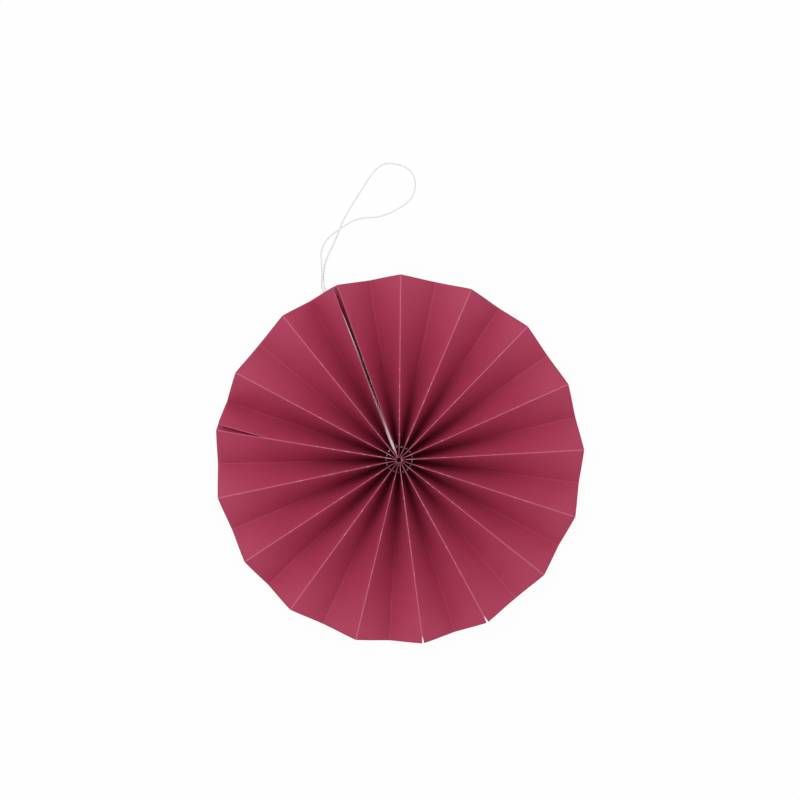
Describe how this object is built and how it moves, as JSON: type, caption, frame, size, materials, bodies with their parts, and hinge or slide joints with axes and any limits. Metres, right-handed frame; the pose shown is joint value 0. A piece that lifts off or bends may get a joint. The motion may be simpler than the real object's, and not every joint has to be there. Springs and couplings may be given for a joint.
{
  "type": "paper fan rosette",
  "caption": "Round fan rosette of accordion-folded paper, gathered on a thread at the centre, with the thread's ends tied off as a hanging loop at the rim.",
  "frame": {"origin": "On the rosette's axis, at the level of the table that its back lies on.", "axes": "+Z out of the rosette's front, along its axis. +Y towards the side of the rim where the thread comes out as the hanging loop. +X to the right as seen from the front with the loop at the top."},
  "size_m": [0.1986, 0.2603, 0.0206],
  "materials": {
    "raspberry_paper": "matte",
    "thread": "matte"
  },
  "bodies": {
    "root": {"paper_sheet_a": "raspberry_paper", "paper_sheet_b": "raspberry_paper", "paper_sheet_c": "raspberry_paper", "paper_sheet_d": "raspberry_paper", "gather_thread": "thread", "hanging_loop": "thread"}
  },
  "joints": []
}
